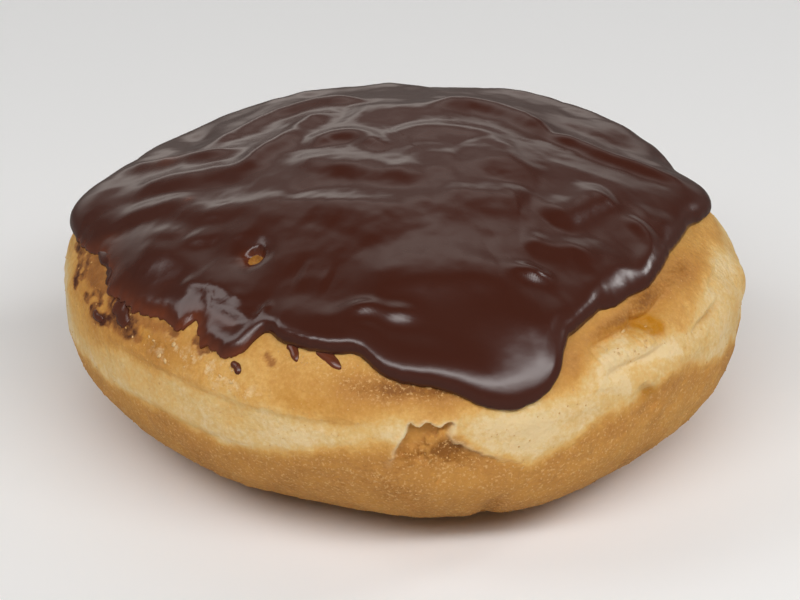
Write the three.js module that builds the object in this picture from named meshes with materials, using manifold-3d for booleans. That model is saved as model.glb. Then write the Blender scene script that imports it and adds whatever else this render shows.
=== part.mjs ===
// Filled yeast doughnut, uncut: a fried cushion of dough with chocolate icing set over its crown.
// Millimetres, +Z up, front at -Y. The origin is on the table, under the middle of the doughnut.
// A place on the surface is given as on a globe whose middle lies in the pale belt round the dough:
// bearing in degrees (0 front, 90 right, 180 back, -90 left), latitude in degrees above the belt.

import * as THREE from "three";
import { mergeVertices } from "three/addons/utils/BufferGeometryUtils.js";
import Module from "manifold-3d";

// The cushion of dough
const BELT_RADIUS = 46.2;
const BELT_HEIGHT = 20.3;
const CROWN_RISE = 18.3;
const KEEL_DROP = 22.3; // belt to where the underside would end, were it not flat on the table
const CROWN_FULLNESS = 1.95; // power of the section's curve: 2 is an ellipse, more is squarer
const KEEL_FULLNESS = 2.9;

// How the plan departs from a circle: count of waves round it, their height, bearing of one crest
const PLAN_WAVES = [
  { count: 2, height: 0.2, crest: 80 },
  { count: 3, height: 0.6, crest: 18 },
  { count: 4, height: 0.7, crest: -6 },
];

// Broad swells and hollows of the cushion: half-widths in degrees, rise in millimetres
const SWELLS = [
  { bearing: 84, latitude: 5, wide: 4, tall: 5, rise: 0.6 },
  { bearing: 23, latitude: -16, wide: 13, tall: 10, rise: 0.9 },
  { bearing: -16, latitude: -18, wide: 16, tall: 12, rise: -1.3 },
  { bearing: -46, latitude: -17, wide: 18, tall: 9, rise: -0.5 },
  { bearing: 112, latitude: 24, wide: 20, tall: 16, rise: -1 },
  { bearing: -116, latitude: 26, wide: 26, tall: 18, rise: -2.1 },
  { bearing: 180, latitude: 45, wide: 40, tall: 22, rise: -0.6 },
  { bearing: 94, latitude: 9, wide: 12, tall: 6, rise: -0.7 },
  { bearing: 160, latitude: -3, wide: 14, tall: 6, rise: -0.6 },
  { bearing: -150, latitude: -4, wide: 10, tall: 5, rise: 0.7 },
];

// Creases (negative rise) and folds of the crust, each along a straight run on the globe
const CREASES = [
  { from: [33, 9.6], to: [57, 10.6], halfWidth: 1.1, rise: -0.7 },
  { from: [36, 5], to: [48, 5.2], halfWidth: 1.0, rise: -0.5 },
  { from: [40, 2], to: [46, -5], halfWidth: 0.9, rise: -0.4 },
  { from: [7, -0.6], to: [20, -6.6], halfWidth: 1.1, rise: -0.8 },
  { from: [15, -14], to: [15.5, -26], halfWidth: 1.6, rise: -0.9 },
  { from: [-64, 1.2], to: [-18, 0.8], halfWidth: 1.6, rise: -0.4 },
  { from: [110, 3], to: [138, 1], halfWidth: 1.4, rise: -0.7 },
  { from: [-122, 2], to: [-96, 3.5], halfWidth: 1.4, rise: -0.6 },
  { from: [168, 1], to: [196, 3], halfWidth: 1.3, rise: -0.6 },
];

// The torn fold at the front: the crust steps in along its left and top, over a sunken tongue
const TEAR = { left: -0.6, right: 10, top: 2.4, bottom: -7, edge: 1.6, depth: 1.3 };

// The icing
const ICING_THICKNESS = 1.7;
const LIP_THICKNESS = 1.9;
const LIP_ROLL = 4.5; // distance over which the swollen lip runs out into the skin
const ICING_GAP = 0.35; // clearance between the skin and the dough
const EDGE_LATITUDE = 12.4; // where the icing ends, on average
const EDGE_LEAN = 2.7; // how much higher it ends on the right, and lower on the left
const DEGREE_ALONG = 0.92; // millimetres of crust to a degree of latitude near the icing's edge

// Where the icing runs further down (or, with a negative drop, less far), in degrees,
// and how much its lip is thicker there than elsewhere, in millimetres
const LOBES = [
  { bearing: 17, wide: 12, drop: 9.5, thicker: 0.8 },
  { bearing: -1, wide: 6, drop: 3.4, thicker: 0.8 },
  { bearing: -19, wide: 4.6, drop: -1.1, thicker: 0.3 },
  { bearing: -25.5, wide: 2.6, drop: -2.8, thicker: 0 },
  { bearing: -33, wide: 5, drop: 3, thicker: -0.4 },
  { bearing: -58, wide: 10.3, drop: 2.4, thicker: -1 },
  { bearing: -72, wide: 3.6, drop: -1.7, thicker: 0.2 },
  { bearing: -93, wide: 9, drop: 2.4, thicker: 0.2 },
  { bearing: 45, wide: 12, drop: 0.9, thicker: 0 },
  { bearing: 94, wide: 11, drop: 3, thicker: 0.3 },
  { bearing: 118, wide: 9, drop: 4, thicker: 0.4 },
  { bearing: 141, wide: 7, drop: 2.2, thicker: 0 },
  { bearing: 172, wide: 12, drop: 5.5, thicker: 0.6 },
  { bearing: -156, wide: 6, drop: -1.6, thicker: 0 },
  { bearing: -132, wide: 10, drop: 4, thicker: 0.3 },
];
const LOBE_POWER = 2.6; // squarer than a bell

// Waves set in the icing, each a ridge on a bowed line in plan: bow is the line's rise to its left
const RIDGES = [
  { from: [-42, -4], to: [-3, -18], bow: -1.5, halfWidth: 2.2, height: 0.9 },
  { from: [-38, 1.5], to: [-22, -3.5], bow: -1.5, halfWidth: 2, height: 0.9 },
  { from: [-22, -3.5], to: [-11, 10], bow: -1, halfWidth: 2, height: 0.9 },
  { from: [-37, 7], to: [-24, 6], bow: -1, halfWidth: 2.2, height: 0.9 },
  { from: [-24, 6], to: [-9, 18], bow: 1, halfWidth: 2.2, height: 0.9 },
  { from: [-36, -14], to: [-18, -32.5], bow: 0.6, halfWidth: 1.8, height: 0.8 },
  { from: [-34, -12.5], to: [-19, -20.5], bow: -0.5, halfWidth: 2, height: 0.5 },
  { from: [-15, -4], to: [5, -12.5], bow: 2, halfWidth: 3, height: 0.7 },
  { from: [-2, 4], to: [17, -9], bow: 5, halfWidth: 3, height: 0.8 },
  { from: [6, 20], to: [38, 5], bow: 1, halfWidth: 2.4, height: 1 },
  { from: [31, 0], to: [39, -5], bow: 0.5, halfWidth: 2, height: 0.6 },
  { from: [27, -12], to: [32, -23.5], bow: 1.5, halfWidth: 2, height: 0.6 },
  { from: [16, -20], to: [26, -23.5], bow: 0.5, halfWidth: 2.2, height: 0.5 },
  { from: [-4, -31], to: [17, -28], bow: 0.5, halfWidth: 2.6, height: 0.5 },
  { from: [-26, 26], to: [4, 34], bow: 3, halfWidth: 2.4, height: 0.8 },
  { from: [8, 33], to: [30, 20], bow: 2, halfWidth: 2.4, height: 0.8 },
];

// The burst bubble that leaves a hole in the icing at the left of the front
const BUBBLE = { bearing: -40, latitude: 23.2, halfWidth: 1.5, halfDepth: 3, sides: 14, bands: 10 };

// How finely the surfaces are divided
const COLUMNS = 104;
const FRONT_CROWDING = 0.55; // columns stand closer at the front, where most of the detail is
const FOOT_LATITUDES = [-64, -48];
const SIDE = { from: -41, to: 15, steps: 18 };
const CROWN_STEPS = 8;
const SKIN_STEPS = 22;
const SKIN_CROWDING = 1.6; // power that draws the skin's rings towards its edge
const SKIN_BACK_STEPS = 12;
const SKIN_BACK_CROWDING = 1.15;
const RIDGE_STEPS = 12;
const SLOPE_STEP = 0.1; // degrees either side of a place when a slope is taken there
const MERGE_DISTANCE = 1e-4;

const { clamp, degToRad, euclideanModulo, lerp, radToDeg, smoothstep } = THREE.MathUtils;
const wasm = await Module();
wasm.setup();

const turnBetween = (bearing, other) => euclideanModulo(bearing - other + 180, 360) - 180;

const bell = (offset, halfWidth, power = 2) => Math.exp(-(Math.abs(offset / halfWidth) ** power));

const total = (list, amount) => list.reduce((sum, item) => sum + amount(item), 0);

// Reach from the middle of the belt to the plain cushion, with its broad swells
function cushionReach(bearing, latitude) {
  const waves = total(PLAN_WAVES, ({ count, height, crest }) =>
    height * Math.cos(count * degToRad(bearing - crest)));
  const above = latitude >= 0;
  const power = above ? CROWN_FULLNESS : KEEL_FULLNESS;
  const level = Math.cos(degToRad(latitude)) / (BELT_RADIUS + waves);
  const upright = Math.abs(Math.sin(degToRad(latitude))) / (above ? CROWN_RISE : KEEL_DROP);
  const swells = total(SWELLS, (swell) =>
    swell.rise * bell(turnBetween(bearing, swell.bearing), swell.wide)
      * bell(latitude - swell.latitude, swell.tall));
  return (level ** power + upright ** power) ** (-1 / power) + swells;
}

// Relief of the crust below the icing
function crustRelief(bearing, latitude) {
  const creases = total(CREASES, ({ from, to, halfWidth, rise }) => {
    const here = new THREE.Vector2(turnBetween(bearing, from[0]), latitude - from[1]);
    const run = new THREE.Vector2(to[0] - from[0], to[1] - from[1]);
    const along = clamp(here.dot(run) / run.lengthSq(), 0, 1);
    return rise * bell(here.distanceTo(run.multiplyScalar(along)), halfWidth / DEGREE_ALONG);
  });
  const turn = turnBetween(bearing, 0);
  const { left, right, top, bottom, edge, depth } = TEAR;
  const across = smoothstep(turn, left, left + edge) * (1 - smoothstep(turn, left + edge, right));
  const down = smoothstep(latitude, bottom, top - edge) * (1 - smoothstep(latitude, top - edge, top));
  return creases - depth * across * down;
}

// The point at a reach along a bearing and latitude, no lower than the table
function placed(bearing, latitude, reach) {
  const level = reach * Math.cos(degToRad(latitude));
  const height = BELT_HEIGHT + reach * Math.sin(degToRad(latitude));
  const turn = degToRad(bearing);
  return new THREE.Vector3(level * Math.sin(turn), -level * Math.cos(turn), Math.max(height, 0));
}

const cushionPoint = (bearing, latitude) => placed(bearing, latitude, cushionReach(bearing, latitude));

const crustPoint = (bearing, latitude) =>
  placed(bearing, latitude, cushionReach(bearing, latitude) + crustRelief(bearing, latitude));

// The way straight out of the cushion
function outward(bearing, latitude) {
  const round = cushionPoint(bearing + SLOPE_STEP, latitude);
  round.sub(cushionPoint(bearing - SLOPE_STEP, latitude));
  const up = cushionPoint(bearing, latitude + SLOPE_STEP);
  up.sub(cushionPoint(bearing, latitude - SLOPE_STEP));
  return round.cross(up).normalize();
}

const lobeTotal = (bearing, amount) =>
  total(LOBES, (lobe) => amount(lobe) * bell(turnBetween(bearing, lobe.bearing), lobe.wide, LOBE_POWER));

const icingEdge = (bearing) =>
  EDGE_LATITUDE + EDGE_LEAN * Math.sin(degToRad(bearing)) - lobeTotal(bearing, (lobe) => lobe.drop);

// Each ridge's line, as points a short step apart
const ridgeLines = RIDGES.map(({ from, to, bow }) => {
  const start = new THREE.Vector2(...from);
  const end = new THREE.Vector2(...to);
  const left = new THREE.Vector2(from[1] - to[1], to[0] - from[0]).normalize();
  const middle = start.clone().add(end).multiplyScalar(0.5).addScaledVector(left, 2 * bow);
  return new THREE.QuadraticBezierCurve(start, middle, end).getPoints(RIDGE_STEPS);
});

// Height of the set waves over a place in plan
function waveHeight(point) {
  const here = new THREE.Vector2(point.x, point.y);
  return RIDGES.reduce((highest, { halfWidth, height }, index) => {
    const away = Math.min(...ridgeLines[index].map((stop) => stop.distanceTo(here)));
    return Math.max(highest, height * bell(away, halfWidth));
  }, 0);
}

// Thickness of the icing: a rounded nose at its edge, a swollen lip, then the skin with its waves
function icingThickness(bearing, latitude) {
  const climb = DEGREE_ALONG * (icingEdge(bearing + SLOPE_STEP) - icingEdge(bearing - SLOPE_STEP));
  const slope = climb / (BELT_RADIUS * degToRad(2 * SLOPE_STEP));
  const inside = DEGREE_ALONG * (latitude - icingEdge(bearing)) / Math.hypot(1, slope);
  const lip = LIP_THICKNESS + lobeTotal(bearing, (lobe) => lobe.thicker);
  const nose = Math.sqrt(1 - (1 - Math.min(inside / lip, 1)) ** 2);
  const body = ICING_THICKNESS + waveHeight(cushionPoint(bearing, latitude));
  return nose * lerp(body, lip, bell(Math.max(inside - lip, 0), LIP_ROLL));
}

// Bearings of the columns, closer together at the front
const bearings = Array.from({ length: COLUMNS }, (_, column) => {
  const turn = 2 * Math.PI * column / COLUMNS;
  return radToDeg(turn - FRONT_CROWDING * Math.sin(turn));
});

// A closed surface from a bottom pole through rings of points to a top pole
function ringsGeometry(bottom, rings, top) {
  const points = [bottom, ...rings.flat(), top];
  const last = points.length - 1;
  const at = (ring, column) => 1 + ring * COLUMNS + column % COLUMNS;
  const triangles = [];
  for (let column = 0; column < COLUMNS; column++) {
    triangles.push(0, at(0, column + 1), at(0, column));
    for (let ring = 0; ring + 1 < rings.length; ring++) {
      const [a, b] = [at(ring, column), at(ring, column + 1)];
      const [c, d] = [at(ring + 1, column + 1), at(ring + 1, column)];
      triangles.push(a, b, c, a, c, d);
    }
    triangles.push(at(rings.length - 1, column), at(rings.length - 1, column + 1), last);
  }
  return new THREE.BufferGeometry().setFromPoints(points).setIndex(triangles);
}

function doughGeometry() {
  const { from, to, steps } = SIDE;
  const side = Array.from({ length: steps + 1 }, (_, step) => lerp(from, to, step / steps));
  const crown = Array.from({ length: CROWN_STEPS - 1 }, (_, step) => lerp(to, 90, (step + 1) / CROWN_STEPS));
  const latitudes = [...FOOT_LATITUDES, ...side, ...crown];
  const rings = latitudes.map((latitude) => bearings.map((bearing) => crustPoint(bearing, latitude)));
  return ringsGeometry(new THREE.Vector3(0, 0, 0), rings, crustPoint(0, 90));
}

// The skin: rings up its underside from the top to the edge, then over its outside to the top again
function icingGeometry() {
  const ring = (share, thickness) => bearings.map((bearing) => {
    const latitude = lerp(icingEdge(bearing), 90, share);
    const off = ICING_GAP + thickness(bearing, latitude);
    return cushionPoint(bearing, latitude).addScaledVector(outward(bearing, latitude), off);
  });
  const none = () => 0;
  const under = Array.from({ length: SKIN_BACK_STEPS }, (_, step) =>
    ring(((SKIN_BACK_STEPS - 1 - step) / SKIN_BACK_STEPS) ** SKIN_BACK_CROWDING, none));
  const over = Array.from({ length: SKIN_STEPS - 1 }, (_, step) =>
    ring(((step + 1) / SKIN_STEPS) ** SKIN_CROWDING, icingThickness));
  const top = cushionPoint(0, 90);
  const inner = top.clone().setZ(top.z + ICING_GAP);
  const outer = top.clone().setZ(inner.z + icingThickness(0, 90));
  return ringsGeometry(inner, [...under, ...over], outer);
}

// Geometry to a solid for cutting, and back
function solidFrom(geometry) {
  const bare = geometry.clone();
  bare.deleteAttribute("normal");
  bare.deleteAttribute("uv");
  const merged = mergeVertices(bare, MERGE_DISTANCE);
  const vertProperties = new Float32Array(merged.attributes.position.array);
  const triVerts = new Uint32Array(merged.index.array);
  return new wasm.Manifold(new wasm.Mesh({ numProp: 3, vertProperties, triVerts }));
}

function geometryFrom(solid) {
  const { vertProperties, triVerts } = solid.getMesh();
  return new THREE.BufferGeometry()
    .setAttribute("position", new THREE.BufferAttribute(vertProperties, 3))
    .setIndex(new THREE.BufferAttribute(triVerts, 1));
}

// The hole of the burst bubble, cut right through the icing along the way out of the dough
function bubbleGeometry() {
  const { bearing, latitude, halfWidth, halfDepth, sides, bands } = BUBBLE;
  const way = outward(bearing, latitude);
  const upright = new THREE.Vector3(0, 0, 1);
  return new THREE.SphereGeometry(1, sides, bands)
    .rotateX(Math.PI / 2)
    .scale(halfWidth, halfWidth, halfDepth)
    .applyQuaternion(new THREE.Quaternion().setFromUnitVectors(upright, way))
    .translate(...cushionPoint(bearing, latitude).addScaledVector(way, ICING_THICKNESS));
}

const dough = new THREE.Mesh(
  doughGeometry(),
  new THREE.MeshStandardMaterial({ color: 0xc8985a, roughness: 0.72, metalness: 0 }),
);
dough.name = "dough";

const icing = new THREE.Mesh(
  geometryFrom(solidFrom(icingGeometry()).subtract(solidFrom(bubbleGeometry()))),
  new THREE.MeshStandardMaterial({ color: 0x44251c, roughness: 0.28, metalness: 0 }),
);
icing.name = "chocolate_icing";

// The box of both pieces is centred over the origin
const group = new THREE.Group();
group.add(dough, icing);
const middle = new THREE.Box3().setFromObject(group).getCenter(new THREE.Vector3());
dough.geometry.translate(-middle.x, -middle.y, 0);
icing.geometry.translate(-middle.x, -middle.y, 0);

export default group;
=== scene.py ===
# A filled yeast doughnut with chocolate icing, uncut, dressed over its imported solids.
import math

import bpy
import numpy as np
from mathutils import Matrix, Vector, kdtree, noise


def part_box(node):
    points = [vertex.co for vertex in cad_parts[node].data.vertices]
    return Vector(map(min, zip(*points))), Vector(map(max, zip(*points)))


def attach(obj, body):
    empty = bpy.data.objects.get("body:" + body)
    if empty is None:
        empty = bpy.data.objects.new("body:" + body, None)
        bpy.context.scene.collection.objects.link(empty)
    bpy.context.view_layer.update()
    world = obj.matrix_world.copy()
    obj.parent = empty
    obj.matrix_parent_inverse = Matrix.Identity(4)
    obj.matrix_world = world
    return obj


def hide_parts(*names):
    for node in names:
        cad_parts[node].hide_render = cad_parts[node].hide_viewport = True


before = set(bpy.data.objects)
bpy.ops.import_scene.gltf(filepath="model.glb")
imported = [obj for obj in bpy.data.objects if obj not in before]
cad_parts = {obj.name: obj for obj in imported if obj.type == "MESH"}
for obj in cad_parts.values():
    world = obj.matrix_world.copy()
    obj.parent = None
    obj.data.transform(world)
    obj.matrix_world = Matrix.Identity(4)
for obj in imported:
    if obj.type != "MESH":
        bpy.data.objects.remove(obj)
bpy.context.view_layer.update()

# The dough
# A cushion of yeast dough, fried on one face and then on the other: golden above, brown below, and pale in
# the belt between, which stayed out of the fat. It is one piece, torn a little at the front, on a flat foot.

# A place on it is given as on a globe about the middle of the belt: bearing in degrees (0 front, 90 right,
# 180 back, -90 left) and latitude in degrees above the belt. Sizes are in millimetres.
DOUGH_HEIGHT = 38.6
dough_low, dough_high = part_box("dough")
MM = (dough_high.z - dough_low.z) / DOUGH_HEIGHT  # a millimetre in the frame's units
BELT_RADIUS = 46.2
BELT_HEIGHT = 20.3
CROWN_RISE = 18.3
KEEL_DROP = 22.3  # belt to where the underside would end, were it not flat on the table
CROWN_FULLNESS = 1.95  # power of the section's curve: 2 is an ellipse, more is squarer
KEEL_FULLNESS = 2.9
FOOT_ROUNDING = 1.2
DEGREE_ROUND = 0.81  # millimetres of crust to a degree of bearing, and of latitude, near the belt
DEGREE_UP = 0.92

# Waves round the plan: how many, their height, bearing of a crest
PLAN_WAVES = ((2, 0.2, 80), (3, 0.6, 18), (4, 0.7, -6))

# Broad swells and hollows: bearing, latitude, half-widths round and up in degrees, rise
SWELLS = (
    (83, 4, 3.5, 4.5, 0.8),
    (23, -16, 13, 10, 0.9),
    (-16, -18, 16, 12, -1.3),
    (-46, -17, 18, 9, -0.5),
    (112, 24, 20, 16, -1),
    (-116, 26, 26, 18, -2.1),
    (180, 24, 40, 16, -0.8),
    (-92, 11, 9, 5, 1.8),
    (90, 12.5, 8, 4.5, 1.4),
    (104, 21, 10, 7, -0.6),
    (94, 7, 12, 4, -0.7),
    (160, -3, 14, 6, -0.6),
    (-150, -4, 10, 5, 0.7),
    (42, 7, 8, 1.9, 0.5),
    (50, 2, 12, 2.4, 0.4),
    (62, 8, 8, 3, 0.3),
    (20, -1, 9, 3.5, 0.3),
)

# Folds of the crust: a path of places, half-width and depth of its groove, and how far the crust on the
# left of the path stands proud of that on its right
FOLDS = (
    (((32, 7.4), (35, 8.2), (40, 8.6), (45, 9), (49, 9.1), (53, 9.8), (58, 10.8)), 0.8, 1, -0.5),
    (((44, 10.2), (47, 8.6), (49, 7)), 1.3, 0.8, 0),
    (((34, 4), (37, 4.3), (41, 4.4), (45.5, 4.3), (49, 5)), 0.7, 0.6, 0),
    (((32, 8.6), (32, 5.5), (31, 2.6)), 0.5, 0.2, 0.9),
    (((41, 1), (43.5, -1.5), (46, -5)), 0.8, 0.6, 0.3),
    (((56, 4), (58.5, 4.5), (64, 4.8), (69, 5.2)), 0.5, 0.5, 0.2),
    (((67, 7), (70, 8), (75, 8)), 0.5, 0.35, 0.15),
    (((15, -13), (15.2, -20), (15.5, -27)), 1.4, 0.9, 0.3),
    (((-64, 1.2), (-50, 1.5), (-40, 1.4), (-28, 1), (-15, 1.1), (-3, 1.8)), 0.7, 0.15, 0.4),
    (((-58, -7), (-48, -6.4), (-36, -7), (-24, -6.4)), 0.8, 0.1, 0.3),
    (((47, -14), (49, -20)), 1, 0.4, 0),
    (((60, -12), (61, -18)), 1, 0.4, 0),
    (((110, 3), (124, 2.4), (138, 1)), 1.1, 0.6, 0.4),
    (((-122, 2), (-108, 2.4), (-96, 3.5)), 1.1, 0.5, 0.4),
    (((168, 1), (182, 2.2), (196, 3)), 1, 0.5, -0.4),
)
FOLD_FADE = 3.2  # how far from a fold its step fades out
FOLD_SHARP = 0.5
FOLD_RUN_OUT = 0.15  # share of a fold over which each of its ends runs out

# The tear at the front: its rim, round the left, top and right of the sunken tongue of crust
TEAR_RIM = (
    (-3, -6.8), (-2.3, -4.8), (-1.9, -3.1), (-1.1, -1.9), (-0.5, -0.4), (0, 0.8), (0.6, 2.0),
    (2, 1.6), (3, 2.2), (3.9, 1.7), (4.7, 1.4), (6, 1.8), (7.2, 1.9), (7, 0.6), (6.4, -0.7),
    (8.3, -1.8), (10.7, -3.3), (13.9, -4.8), (17.2, -6.3), (20.5, -7),
)
TEAR_FOOT = -16  # latitude at which the tongue runs out below
TEAR_DEPTH = 1.3
TEAR_WALL = 0.3
TEAR_CURL = {"height": 0.3, "outside": 0.6, "half_width": 0.7}
TEAR_RAGGED = {"size": 0.9, "reach": 0.45}
TEAR_OPENS = 0.2  # share of the rim by which the tear is fully open
TEAR_HALVES = (0.6, 0.75)  # shares of the rim between which it closes by half
TEAR_SHUTS = 0.8  # and from which it runs out on the right

# The wrinkled patch on the right: bearings, latitudes, how softly it ends, and the form of a wrinkle
PLEATS = {
    "from": 33, "to": 49, "soft_round": 2, "low": 5.6, "high": 8.8, "soft_up": 1,
    "width": 1.15, "height": 0.2, "slant": 0.25,
}

# Unevenness of the crust: size of a lump, its height
LUMPS = ((11, 0.3), (4, 0.14), (1.6, 0.08))
NOISE_FORM = (1, 2, 3)  # how the noise falls off, the step between its octaves, how many there are
NOISE_SHIFT = (17.3, 5.9, 11.1)  # how far one seed's noise lies from the next


def turned(bearing, other):
    """Degrees from one bearing round to another, -180 to 180."""
    return (bearing - other + 180) % 360 - 180


def bell(offset, half_width, power=2):
    return np.exp(-np.abs(offset / half_width) ** power)


def smooth(value, low, high):
    """Rises from 0 at low to 1 at high without a corner."""
    share = np.clip((value - low) / (high - low), 0, 1)
    return share * share * (3 - 2 * share)


def between(value, low, high, soft):
    """1 between low and high, 0 outside, with soft ends."""
    return smooth(value, low - soft, low + soft) * (1 - smooth(value, high - soft, high + soft))


def summed(bearing, latitude, places):
    """Sum of soft round spots, each with its own strength."""
    total = np.zeros(bearing.shape)
    for at, height, wide, tall, strength in places:
        total = total + strength * bell(turned(bearing, at), wide) * bell(latitude - height, tall)
    return total


def cushion_reach(bearing, latitude):
    """Reach from the middle of the belt to the plain cushion, with its broad swells."""
    waves = sum(height * np.cos(count * np.radians(bearing - crest)) for count, height, crest in PLAN_WAVES)
    above = latitude >= 0
    power = np.where(above, CROWN_FULLNESS, KEEL_FULLNESS)
    level = np.abs(np.cos(np.radians(latitude))) / (BELT_RADIUS + waves)
    upright = np.abs(np.sin(np.radians(latitude))) / np.where(above, CROWN_RISE, KEEL_DROP)
    return (level**power + upright**power) ** (-1 / power) + summed(bearing, latitude, SWELLS)


def placed(bearing, latitude, reach):
    """Points at a reach along bearings and latitudes, rounded off where they come down to the table."""
    level = reach * np.cos(np.radians(latitude))
    height = BELT_HEIGHT + reach * np.sin(np.radians(latitude))
    rounded = (np.clip(height, -FOOT_ROUNDING, FOOT_ROUNDING) + FOOT_ROUNDING) ** 2 / (4 * FOOT_ROUNDING)
    height = np.where(height < FOOT_ROUNDING, rounded, height)
    turn = np.radians(bearing)
    return np.stack([level * np.sin(turn), -level * np.cos(turn), height], axis=-1)


def cushion_point(bearing, latitude):
    return placed(bearing, latitude, cushion_reach(bearing, latitude))


def outward(bearing, latitude):
    """The way straight out of the cushion."""
    step = 0.1
    round_it = cushion_point(bearing + step, latitude) - cushion_point(bearing - step, latitude)
    up_it = cushion_point(bearing, latitude + step) - cushion_point(bearing, latitude - step)
    way = np.cross(round_it, up_it)
    return way / np.linalg.norm(way, axis=-1, keepdims=True)


def lumps(points, size, seed=0):
    """Smooth noise with lumps of about that size, about -1 to 1."""
    shift = Vector([seed * along for along in NOISE_SHIFT])
    flat = points.reshape(-1, 3) / size
    heights = [noise.fractal(Vector(point) + shift, *NOISE_FORM) for point in flat]
    return np.array(heights).reshape(points.shape[:-1])


def from_path(bearing, latitude, path):
    """Millimetres from places to a path, plus on its left, and the share of the path passed there."""
    nearest = np.full(bearing.shape, np.inf)
    side = np.ones(bearing.shape)
    share = np.zeros(bearing.shape)
    runs = len(path) - 1
    for index in range(runs):
        (start_round, start_up), (end_round, end_up) = path[index], path[index + 1]
        run = ((end_round - start_round) * DEGREE_ROUND, (end_up - start_up) * DEGREE_UP)
        across = turned(bearing, start_round) * DEGREE_ROUND
        up = (latitude - start_up) * DEGREE_UP
        passed = np.clip((across * run[0] + up * run[1]) / (run[0] ** 2 + run[1] ** 2), 0, 1)
        away = np.hypot(across - passed * run[0], up - passed * run[1])
        nearer = away < nearest
        nearest = np.where(nearer, away, nearest)
        side = np.where(nearer, np.where(run[0] * up - run[1] * across > 0, 1, -1), side)
        share = np.where(nearer, (index + passed) / runs, share)
    return nearest * side, share


def inside_outline(bearing, latitude, outline):
    """True for places inside a closed outline of places."""
    here = turned(bearing, 0)
    found = np.zeros(bearing.shape, bool)
    for (start_round, start_up), (end_round, end_up) in zip(outline, outline[1:] + outline[:1]):
        if start_up == end_up:
            continue
        crosses = (start_up > latitude) != (end_up > latitude)
        reached = start_round + (latitude - start_up) / (end_up - start_up) * (end_round - start_round)
        found ^= crosses & (here < reached)
    return found


def signed_inside(bearing, latitude, outline, away):
    """A distance from a closed outline, plus inside it and minus outside."""
    return np.where(inside_outline(bearing, latitude, outline), 1, -1) * np.abs(away)


def tear_inside(bearing, latitude):
    """Millimetres inside the tear's rim (minus outside), and how far open the tear is there, 0 to 1."""
    points = cushion_point(bearing, latitude)
    bearing = bearing + TEAR_RAGGED["reach"] * lumps(points, TEAR_RAGGED["size"], 6)
    latitude = latitude + TEAR_RAGGED["reach"] * lumps(points, TEAR_RAGGED["size"], 7)
    outline = TEAR_RIM + ((TEAR_RIM[-1][0], TEAR_FOOT), (TEAR_RIM[0][0], TEAR_FOOT))
    away, share = from_path(bearing, latitude, TEAR_RIM)
    opened = smooth(share, 0, TEAR_OPENS) * (1 - smooth(share, *TEAR_HALVES) / 2)
    opened = opened * (1 - smooth(share, TEAR_SHUTS, 1))
    return signed_inside(bearing, latitude, outline, away), opened


def crust_relief(bearing, latitude):
    """Height of the crust's folds, tear, wrinkles and lumps over the plain cushion."""
    relief = np.zeros(bearing.shape)
    for path, half_width, depth, proud in FOLDS:
        away, share = from_path(bearing, latitude, path)
        ends = smooth(share, 0, FOLD_RUN_OUT) * (1 - smooth(share, 1 - FOLD_RUN_OUT, 1))
        relief -= ends * depth * bell(away, half_width)
        relief += ends * proud / 2 * np.tanh(away / FOLD_SHARP) * bell(away, FOLD_FADE)
    inside, opened = tear_inside(bearing, latitude)
    sunk = smooth(inside, -TEAR_WALL / 2, TEAR_WALL / 2) * smooth(latitude, TEAR_FOOT, 0)
    curl = TEAR_CURL["height"] * bell(inside + TEAR_CURL["outside"], TEAR_CURL["half_width"])
    relief += opened * (curl - TEAR_DEPTH * sunk)
    patch = between(turned(bearing, 0), PLEATS["from"], PLEATS["to"], PLEATS["soft_round"])
    patch = patch * between(latitude, PLEATS["low"], PLEATS["high"], PLEATS["soft_up"])
    phase = bearing * DEGREE_ROUND / PLEATS["width"] + PLEATS["slant"] * latitude
    relief += PLEATS["height"] * patch * np.sin(2 * np.pi * phase)
    points = cushion_point(bearing, latitude)
    for seed, (size, height) in enumerate(LUMPS):
        relief += height * lumps(points, size, seed)
    return relief


def crust_point(bearing, latitude):
    return placed(bearing, latitude, cushion_reach(bearing, latitude) + crust_relief(bearing, latitude))


# The belt's upper and lower borders: bearing and latitude round the dough
BELT_TOP = (
    (-150, 3), (-120, 2.5), (-95, 4.5), (-78, 3.4), (-70, 2), (-60, 1), (-45, 0.8), (-30, 1.6), (-10, 1.4),
    (0, 2.6), (14, 3), (22, 3.6), (29, 5), (32, 8), (40, 9), (46, 7), (54, 5), (62, 8), (75, 10), (100, 6),
    (140, 3.5),
)
BELT_FOOT = (
    (-150, -4), (-120, -5), (-83, -8), (-68, -7.4), (-57, -7.5), (-40, -7), (-30, -8), (-22, -6.4),
    (-10, -3), (-4, -2.4), (1, -2), (7, -0.5), (12, -3.6), (20, -6.8), (27, -5), (33, -3), (47, -0.5),
    (54, -0.5), (67, -4.6), (90, -6), (130, -4),
)
BORDER_SOFT = 1.8
BORDER_RAGGED = ((6, 1.1), (1.6, 0.6))  # size of a lump in the borders, and degrees by which it moves them
BROWN_ABOVE = 0.4  # how brown each zone is fried, 0 cream to 1 deep brown
BROWN_BELT = 0.1
BROWN_BELOW = 0.7
# Inside the tear's rim: browner crust, darker still as painted shade of the recess under the rim
TEAR_SHADE_AND_BROWN = {"change": 0.4, "from": 0.2, "to": 3, "soft": 0.2}  # inside the rim of the tear
TORN_RIM = {"strength": 0.75, "outside": 0.2, "half_width": 0.35}  # the pale crumb along that rim
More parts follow.
